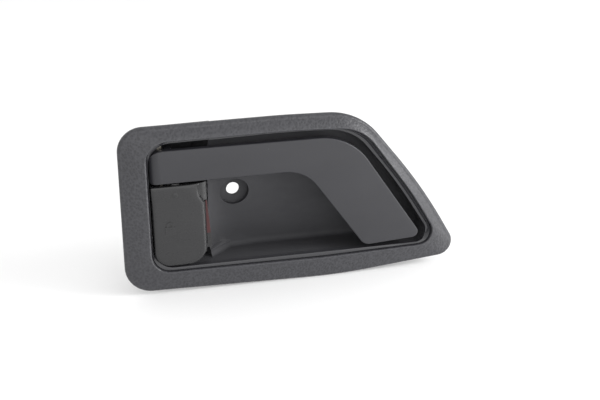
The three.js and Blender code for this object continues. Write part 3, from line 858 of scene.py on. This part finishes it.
def side_clearance():
    """The space kept clear in front of the knob's side, slanting in towards the top."""
    corners = [(-12.4, -15.4), (FAR, -15.4), (FAR, FAR), (-13.3, FAR), (-13.6, 1)]
    return prism(corners, "Y", -FAR, 5.6)


def knob_webs(heights, behind):
    """The level webs that carry the skirt on the hub, behind the film."""
    thickness = 1.55
    webs = []
    for height in heights:
        plan = ring_sector(2, SKIRT_RADIUS - 0.5, -12, 23.9)
        front = block(KNOB_RIGHT - GAP, -FAR, -FAR, FAR, behind, FAR)
        webs.append(cut(prism(plan, "Z", height, height + thickness), front))
    return webs


def knob_arm():
    """The arm and the eye that work the lock rod."""
    strip = bar(HINGE.x, HINGE.y, ARM_EYE.x, ARM_EYE.y, 3.6)
    eye = rod((ARM_EYE.x, ARM_EYE.y), EYE_RADIUS, ARM_LOW + 0.01, ARM_HIGH - 0.01)
    return [prism(strip, "Z", ARM_LOW, ARM_HIGH), eye]


def lock_knob():
    """The lock knob: rolled face, cheek, skirt, webs, hub and the arm that works the lock rod."""
    shoulder_y = MARKER_HIGH.y + 0.1
    skirt_low, skirt_high = -22.0, 1.4
    skirt_inner = SKIRT_RADIUS - 1.8
    cap = knob_face()
    cheek = prism(outline(KNOB), "Y", -3, shoulder_y + 0.5)
    keep(cheek, block(KNOB_RIGHT - 1.8, -FAR, skirt_low, FAR, FAR, skirt_high))
    hub = hinge_rod(KNOB_HUB_RADIUS, -25.2, 9.4)
    lower = prism(ring_sector(skirt_inner, SKIRT_RADIUS, 2, 24), "Z", skirt_low, skirt_high)
    upper = prism(ring_sector(skirt_inner, SKIRT_RADIUS - 0.01, 2.1, 23.95), "Z", 0, 9.6)
    webs = knob_webs((skirt_low + 0.02, 0.02), shoulder_y + 0.02)
    join(cap, hub, cheek, lower, upper, knob_facet(), *webs, *knob_arm(), padlock_sign(), raised_dot())
    eye_bore = rod((ARM_EYE.x, ARM_EYE.y), EYE_BORE, -20, 0)
    cut(cap, side_clearance(), hinge_rod(BUSH_BORE, -60, 60), eye_bore)
    return soften(cap, 0.12, 2, 42)


def unlocked_marker():
    """The red film on the skirt's shoulder, a wedge that widens downwards."""
    low, high = MARKER_LOW, MARKER_HIGH
    small, large = 0.2, 0.5
    corners = [
        (low.x, low.z, small), (high.x, low.z, large),
        (high.x - 1.2, high.z, small), (low.x, high.z, small),
    ]
    wedge = outline(corners, arc_steps=5, line_steps=2)
    return soften(prism(wedge, "Y", low.y, high.y, "unlocked_marker_film"), 0.05, 2)


# ---------------------------------------------------------------- clips and rubber

def rod_clip(node, eye, arm_low, arm_high):
    """A swivel clip: a post through the eye, a snap head and a cradle for the rod."""
    low, high = box_mm(node)
    half_depth, half_mouth, rod_radius = 3.6, 1.2, 1.6
    rod_z = arm_low - 3.4
    head_low = arm_high + GAP
    plan = rectangle(low.x, eye.y - half_depth, high.x, eye.y + half_depth)
    cradle = prism(plan, "Z", low.z, arm_low - GAP, node + "_body")
    post = turned("post", [(2.3, arm_low - 1), (2.3, arm_high + 0.8)], (eye.x, eye.y))
    head = turned("head", [(2.6, head_low), (3.4, head_low + 0.35), (2.0, high.z)], (eye.x, eye.y))
    join(cradle, post, head)
    bore = rod((eye.y, rod_z), rod_radius, -60, 60, "X")
    mouth = block(-60, eye.y - half_mouth, low.z - 1, 60, eye.y + half_mouth, rod_z)
    slot = block(eye.x - 0.5, eye.y - 5, arm_low + 1, eye.x + 0.5, eye.y + 5, 60)
    cut(cradle, bore, mouth, slot)
    return soften(cradle, 0.3, 3)


def rest_bumper():
    """The buffer that the lever rests on."""
    low, high = box_mm("lever_rest_bumper")
    centre = (low + high) / 2
    profile = eased((high.x - low.x) / 2, low.y, high.y, 0.5, 5)
    return soften(turned("rest_bumper_rubber", profile, (centre.x, centre.z), "Y"))


def stop_sleeve():
    """The sleeve that the crank's lug meets when the lever is fully out."""
    low, high = box_mm("lever_stop_sleeve")
    centre = (low + high) / 2
    profile = tube_profile(1.7, (high.x - low.x) / 2, low.z, high.z, 0.4)
    return soften(turned("stop_sleeve_rubber", profile, (centre.x, centre.y), hollow=True))


def stop_pad():
    """The pad that stops the knob's arm when the door is locked."""
    low, high = box_mm("lock_stop_bumper")
    plan = rectangle(low.x, low.y, high.x, high.y)
    return soften(prism(plan, "Z", low.z, high.z, "stop_pad_rubber"), 0.6, 4)


# ---------------------------------------------------------------- materials

class Shader:
    """A node material with a Principled shader, built in short steps."""

    def __init__(self, name):
        self.material = bpy.data.materials.new(name)
        self.material.use_nodes = True
        self.tree = self.material.node_tree
        self.main = self.tree.nodes["Principled BSDF"]
        self.place = self.add("ShaderNodeTexCoord").outputs["Object"]

    def add(self, kind, inputs=(), **settings):
        """Adds a node. Inputs are (socket, value or output) pairs."""
        node = self.tree.nodes.new(kind)
        for key, value in settings.items():
            setattr(node, key, value)
        for socket, value in inputs:
            if isinstance(value, bpy.types.NodeSocket):
                self.tree.links.new(value, node.inputs[socket])
            else:
                node.inputs[socket].default_value = value
        return node

    def set(self, socket, value):
        """Sets one of the shader's own sockets."""
        self.main.inputs[socket].default_value = value

    def link(self, output, socket):
        """Links an output to one of the shader's own sockets."""
        self.tree.links.new(output, self.main.inputs[socket])

    def roughness(self, mottle, low, high):
        """Roughness that follows a noise between two values."""
        self.link(self.spread(mottle, 0.3, 0.7, low, high), "Roughness")

    def noise(self, size_mm, detail=2.0, roughness=0.5, stretch=(1, 1, 1)):
        """Noise whose blotches are about a size across."""
        mapping = self.add("ShaderNodeMapping", [("Vector", self.place), ("Scale", stretch)])
        node = self.add("ShaderNodeTexNoise", [
            ("Vector", mapping.outputs["Vector"]),
            ("Scale", 1 / (size_mm * MM)),
            ("Detail", detail),
            ("Roughness", roughness),
        ])
        return node.outputs["Fac"]

    def cells(self, size_mm, feature="F1"):
        """A node of Voronoi cells of about a size."""
        inputs = [("Vector", self.place), ("Scale", 1 / (size_mm * MM))]
        return self.add("ShaderNodeTexVoronoi", inputs, feature=feature)

    def spread(self, value, low_in, high_in, low_out, high_out):
        """A value mapped from one range to another, and held inside it."""
        node = self.add("ShaderNodeMapRange", [
            ("Value", value), ("From Min", low_in), ("From Max", high_in),
            ("To Min", low_out), ("To Max", high_out),
        ])
        return node.outputs["Result"]

    def math(self, operation, first, second):
        """One sum on two values or outputs."""
        return self.add("ShaderNodeMath", [(0, first), (1, second)], operation=operation).outputs[0]

    def mix(self, share, first, second):
        """A mix of two colours."""
        node = self.add("ShaderNodeMix", data_type="RGBA")
        colour_sockets = [socket for socket in node.inputs if socket.type == "RGBA"]
        for socket, value in zip(colour_sockets, (first, second)):
            if isinstance(value, bpy.types.NodeSocket):
                self.tree.links.new(value, socket)
            else:
                socket.default_value = (*value, 1)
        self.tree.links.new(share, node.inputs[0])
        return [socket for socket in node.outputs if socket.type == "RGBA"][0]

    def edges(self, reach_mm=0.4):
        """Where the surface turns sharply within a reach, from 0 to 1."""
        flat, sharp = 0.995, 0.90
        rounded = self.add("ShaderNodeBevel", [("Radius", reach_mm * MM)], samples=4)
        plain = self.add("ShaderNodeNewGeometry")
        normals = [(0, rounded.outputs["Normal"]), (1, plain.outputs["Normal"])]
        alike = self.add("ShaderNodeVectorMath", normals, operation="DOT_PRODUCT")
        return self.spread(alike.outputs["Value"], flat, sharp, 0, 1)

    def bump(self, height, depth_mm, strength=1.0, under=None):
        """A bump of a height in millimetres, over an earlier bump."""
        inputs = [("Height", height), ("Distance", depth_mm * MM), ("Strength", strength)]
        if under is not None:
            inputs.append(("Normal", under))
        return self.add("ShaderNodeBump", inputs).outputs["Normal"]


def specks(shader, size_mm, share, radius):
    """Sparse small dots: 1 inside a speck and 0 elsewhere."""
    cells = shader.cells(size_mm)
    near = shader.spread(cells.outputs["Distance"], radius, radius * 0.6, 0, 1)
    pick = shader.add("ShaderNodeSeparateColor", [("Color", cells.outputs["Color"])]).outputs[0]
    chosen = shader.spread(pick, 1 - share, 1 - share + 0.01, 0, 1)
    return shader.math("MULTIPLY", near, chosen)


def grained_plastic():
    """Moulded trim plastic with a fine leather-like grain, slightly dusty, smoother on its edges and
    lighter there with wear and a painted highlight.
    """
    shader = Shader("grained_plastic")
    blotch = shader.noise(9.0, 3)
    grain = shader.cells(1.0, "SMOOTH_F1").outputs["Distance"]
    fine = shader.noise(0.5, 2)
    base = shader.mix(blotch, (0.018, 0.018, 0.021), (0.023, 0.023, 0.027))
    dull = shader.mix(shader.spread(grain, 0.15, 0.6, 0, 1), base, (0.036, 0.036, 0.041))
    worn_and_highlit_edges = shader.edges(0.8)
    # Lighter colour on the rounded edges: partly wear, partly a painted highlight along the crease and
    # the rim.
    worn = shader.mix(worn_and_highlit_edges, dull, (0.060, 0.060, 0.066))
    dusty = shader.mix(specks(shader, 3.4, 0.08, 0.05), worn, (0.30, 0.30, 0.31))
    shader.link(dusty, "Base Color")
    matt = shader.spread(fine, 0.3, 0.7, 0.38, 0.50)
    shader.link(shader.math("SUBTRACT", matt, shader.spread(worn_and_highlit_edges, 0, 1, 0, 0.20)), "Roughness")
    grain_left = shader.spread(worn_and_highlit_edges, 0, 1, 1, 0.25)
    pebble = shader.bump(shader.math("MULTIPLY", grain, grain_left), 0.22, 0.8)
    pitted = shader.bump(shader.math("MULTIPLY", fine, grain_left), 0.08, 0.6, pebble)
    shader.link(pitted, "Normal")
    return shader.material


def satin_plastic(name, dark, light, rough, depth_mm, deep_rough=None):
    """Smooth moulded plastic: faint flow, a light rub, paler edges from wear and a painted highlight and,
    if asked, a duller inside.
    """
    shader = Shader(name)
    front_y, inside_y = -1.5, 1.0
    # Paler colour on the edges: partly wear, partly a painted highlight for the light lines along them.
    worn_edge_and_highlight = tuple(channel * 1.8 for channel in light)
    flow = shader.noise(14.0, 4, 0.55, (0.4, 1, 1))
    base = shader.mix(flow, dark, light)
    worn = shader.mix(shader.edges(0.25), base, worn_edge_and_highlight)
    dusty = shader.mix(specks(shader, 4.5, 0.05, 0.035), worn, (0.2, 0.2, 0.2))
    shader.link(dusty, "Base Color")
    rub = shader.spread(shader.noise(4.0, 3, 0.5, (0.6, 1, 1)), 0.3, 0.7, rough - 0.04, rough + 0.04)
    if deep_rough:
        depth = shader.add("ShaderNodeSeparateXYZ", [("Vector", shader.place)]).outputs["Y"]
        inside = shader.spread(depth, front_y * MM, inside_y * MM, 0, deep_rough - rough)
        rub = shader.math("ADD", rub, inside)
    shader.link(rub, "Roughness")
    fine = shader.noise(0.22, 2)
    shader.link(shader.bump(fine, depth_mm, 0.35), "Normal")
    return shader.material


def housing_plastic():
    """Semi-gloss black on the lip, duller down in the pocket."""
    return satin_plastic(
        "housing_plastic", (0.026, 0.026, 0.029), (0.037, 0.037, 0.041), 0.30, 0.008, deep_rough=0.78
    )


def lever_plastic():
    """Satin charcoal."""
    return satin_plastic("lever_plastic", (0.015, 0.015, 0.018), (0.021, 0.021, 0.025), 0.42, 0.012)


def knob_plastic():
    """Semi-gloss black."""
    return satin_plastic("knob_plastic", (0.012, 0.012, 0.013), (0.017, 0.017, 0.018), 0.28, 0.006)


def natural_plastic():
    """Milky acetal, slightly cloudy."""
    shader = Shader("natural_plastic")
    cloud = shader.noise(3.0, 3)
    shader.link(shader.mix(cloud, (0.66, 0.63, 0.53), (0.75, 0.73, 0.65)), "Base Color")
    shader.roughness(shader.noise(0.8, 2), 0.38, 0.52)
    shader.link(shader.bump(shader.noise(0.3, 2), 0.01, 0.3), "Normal")
    return shader.material


def plated_steel():
    """Zinc plate with a faint yellow tint, brighter where its edges are rubbed."""
    shader = Shader("plated_steel")
    cloud = shader.noise(4.0, 4)
    tint = shader.mix(cloud, (0.24, 0.22, 0.18), (0.23, 0.225, 0.21))
    worn = shader.mix(shader.edges(), tint, (0.40, 0.39, 0.37))
    shader.link(worn, "Base Color")
    shader.roughness(shader.noise(0.5, 3), 0.24, 0.42)
    shader.link(shader.bump(shader.noise(0.15, 2, 0.5, (1, 0.15, 1)), 0.008, 0.4), "Normal")
    shader.set("Metallic", 1.0)
    return shader.material


def spring_steel():
    """Drawn spring steel, mottled, with a very fine texture."""
    shader = Shader("spring_steel")
    cloud = shader.noise(1.6, 3)
    shader.link(shader.mix(cloud, (0.26, 0.26, 0.27), (0.40, 0.39, 0.38)), "Base Color")
    shader.roughness(shader.noise(0.3, 3), 0.2, 0.36)
    shader.link(shader.bump(shader.noise(0.1, 2), 0.006, 0.4), "Normal")
    shader.set("Metallic", 1.0)
    return shader.material


def rubber():
    """Matt black rubber with a dusty bloom."""
    shader = Shader("rubber")
    bloom = shader.noise(1.4, 4)
    shader.link(shader.mix(bloom, (0.012, 0.012, 0.012), (0.032, 0.031, 0.030)), "Base Color")
    shader.roughness(shader.noise(0.4, 2), 0.72, 0.9)
    shader.link(shader.bump(shader.noise(0.25, 2), 0.02, 0.5), "Normal")
    return shader.material


def red_film():
    """Satin red film, a deep red darkened as painted shade."""
    shader = Shader("red_film")
    fade = shader.noise(3.0, 3)
    # The red is kept very dark: painted shade for the shadow that the film sits in.
    shader.link(shader.mix(fade, (0.036, 0.004, 0.005), (0.060, 0.007, 0.008)), "Base Color")
    shader.roughness(shader.noise(0.5, 2), 0.3, 0.45)
    shader.link(shader.bump(shader.noise(0.3, 2), 0.006, 0.4), "Normal")
    return shader.material


MATERIALS = {
    "grained_plastic": grained_plastic(),
    "housing_plastic": housing_plastic(),
    "lever_plastic": lever_plastic(),
    "knob_plastic": knob_plastic(),
    "natural_plastic": natural_plastic(),
    "plated_steel": plated_steel(),
    "spring_steel": spring_steel(),
    "rubber": rubber(),
    "red_film": red_film(),
}


# ---------------------------------------------------------------- assembly

SLOT_OF = {part["node"]: part["material_slot"] for part in frame["record"]["subparts"]}
BODIES = frame["record"]["behaviour"]["bodies"]
BODY_OF = {node: body for body, nodes in BODIES.items() for node in nodes}


def stand_in(piece, node):
    """Gives a piece its finish and makes it stand for its CAD node."""
    slot = SLOT_OF[node]
    piece.data.materials.clear()
    piece.data.materials.append(MATERIALS[slot])
    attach(piece, BODY_OF[node])
    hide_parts(node)


stand_in(bezel(), "bezel")
stand_in(housing(), "housing")
stand_in(hinge_pin(), "hinge_pin")
stand_in(push_nut(), "pin_push_nut")
stand_in(return_spring(), "lever_return_spring")
stand_in(detent_spring(), "lock_detent_spring")
stand_in(rest_bumper(), "lever_rest_bumper")
stand_in(stop_sleeve(), "lever_stop_sleeve")
stand_in(stop_pad(), "lock_stop_bumper")
stand_in(pull_lever(), "pull_lever")
stand_in(lever_crank(), "lever_crank")
stand_in(lock_knob(), "lock_knob")
stand_in(unlocked_marker(), "unlocked_marker")
for bush_node in ("lever_bush_upper", "lever_bush_lower", "lock_bush_upper", "lock_bush_lower"):
    stand_in(bush(bush_node), bush_node)
for rivet_node in ("crank_rivet_1", "crank_rivet_2"):
    stand_in(rivet(rivet_node), rivet_node)
stand_in(rod_clip("latch_rod_clip", CRANK_EYE, CRANK_LOW.z, CRANK_HIGH.z), "latch_rod_clip")
stand_in(rod_clip("lock_rod_clip", ARM_EYE, ARM_LOW, ARM_HIGH), "lock_rod_clip")


# ---------------------------------------------------------------- studio

def floor():
    """A plain pale floor under the handle. It casts no shadow, so a light can stand below it."""
    half = 3000.0
    height = cad_low.z / MM
    corners = [(-half, -half, height), (half, -half, height), (half, half, height), (-half, half, height)]
    plane = make_mesh("studio_floor", corners, [(0, 1, 2, 3)])
    shader = Shader("studio_floor")
    shader.link(shader.mix(shader.noise(60.0, 2), (0.70, 0.70, 0.70), (0.73, 0.73, 0.73)), "Base Color")
    shader.set("Roughness", 0.6)
    shader.set("Specular IOR Level", 0.2)
    shader.set("Emission Color", (1, 1, 1, 1))
    shader.set("Emission Strength", 0.20)
    plane.data.materials.append(shader.material)
    plane.visible_shadow = False


def softbox(name, location, size, power, target=(0.03, 0, 0)):
    """A rectangular area light that points at the handle, in metres and watts."""
    light = bpy.data.lights.new(name, "AREA")
    light.shape = "RECTANGLE"
    light.size, light.size_y = size
    light.energy = power
    lamp = bpy.data.objects.new(name, light)
    lamp.location = location
    lamp.visible_camera = False
    lamp.rotation_euler = (Vector(target) - Vector(location)).to_track_quat("-Z", "Y").to_euler()
    bpy.context.scene.collection.objects.link(lamp)


def surroundings():
    """An even pale world all round."""
    world = bpy.data.worlds.new("studio")
    world.use_nodes = True
    background = world.node_tree.nodes["Background"]
    background.inputs["Color"].default_value = (1.0, 1.0, 1.0, 1)
    background.inputs["Strength"].default_value = 1.0
    bpy.context.scene.world = world
    bpy.context.scene.view_settings.view_transform = "Standard"


def camera():
    """The camera: left of the handle's front and above it, leaning slightly to one side."""
    azimuth, elevation, roll = math.radians(-13.0), math.radians(21.5), math.radians(-0.7)
    distance = 0.4931
    centre = (cad_low + cad_high) / 2
    aim_right, aim_down = 0.0037, 0.0013
    target = Vector((centre.x + aim_right, TRIM_Y * MM, centre.z - aim_down))
    level_reach = math.cos(elevation)
    back = Vector((
        math.sin(azimuth) * level_reach,
        -math.cos(azimuth) * level_reach,
        math.sin(elevation),
    ))
    side = Vector((0, 0, 1)).cross(back).normalized()
    upward = back.cross(side)
    right = side * math.cos(roll) + upward * math.sin(roll)
    top = upward * math.cos(roll) - side * math.sin(roll)
    data = bpy.data.cameras.new("camera")
    data.lens = 66
    data.sensor_width = 36
    data.clip_start = 0.01
    lens = bpy.data.objects.new("camera", data)
    turn = Matrix((right, top, back)).transposed().to_4x4()
    lens.matrix_world = Matrix.Translation(target + back * distance) @ turn
    bpy.context.scene.collection.objects.link(lens)
    bpy.context.scene.camera = lens


floor()
surroundings()
# The kicker stands below the floor, for the sheen that comes from low on the right.
softbox("low_right", (0.42, -0.22, 0.14), (0.36, 0.11), 1.0)
softbox("kicker", (0.85, -0.24, -0.34), (0.4, 0.35), 5.5)
softbox("high_right", (0.85, -0.36, 0.45), (0.3, 0.2), 3.5)
softbox("front", (0.05, -1.15, 0.12), (1.4, 0.7), 3.5)
softbox("top", (0.0, -0.1, 1.0), (0.8, 0.8), 1)
camera()
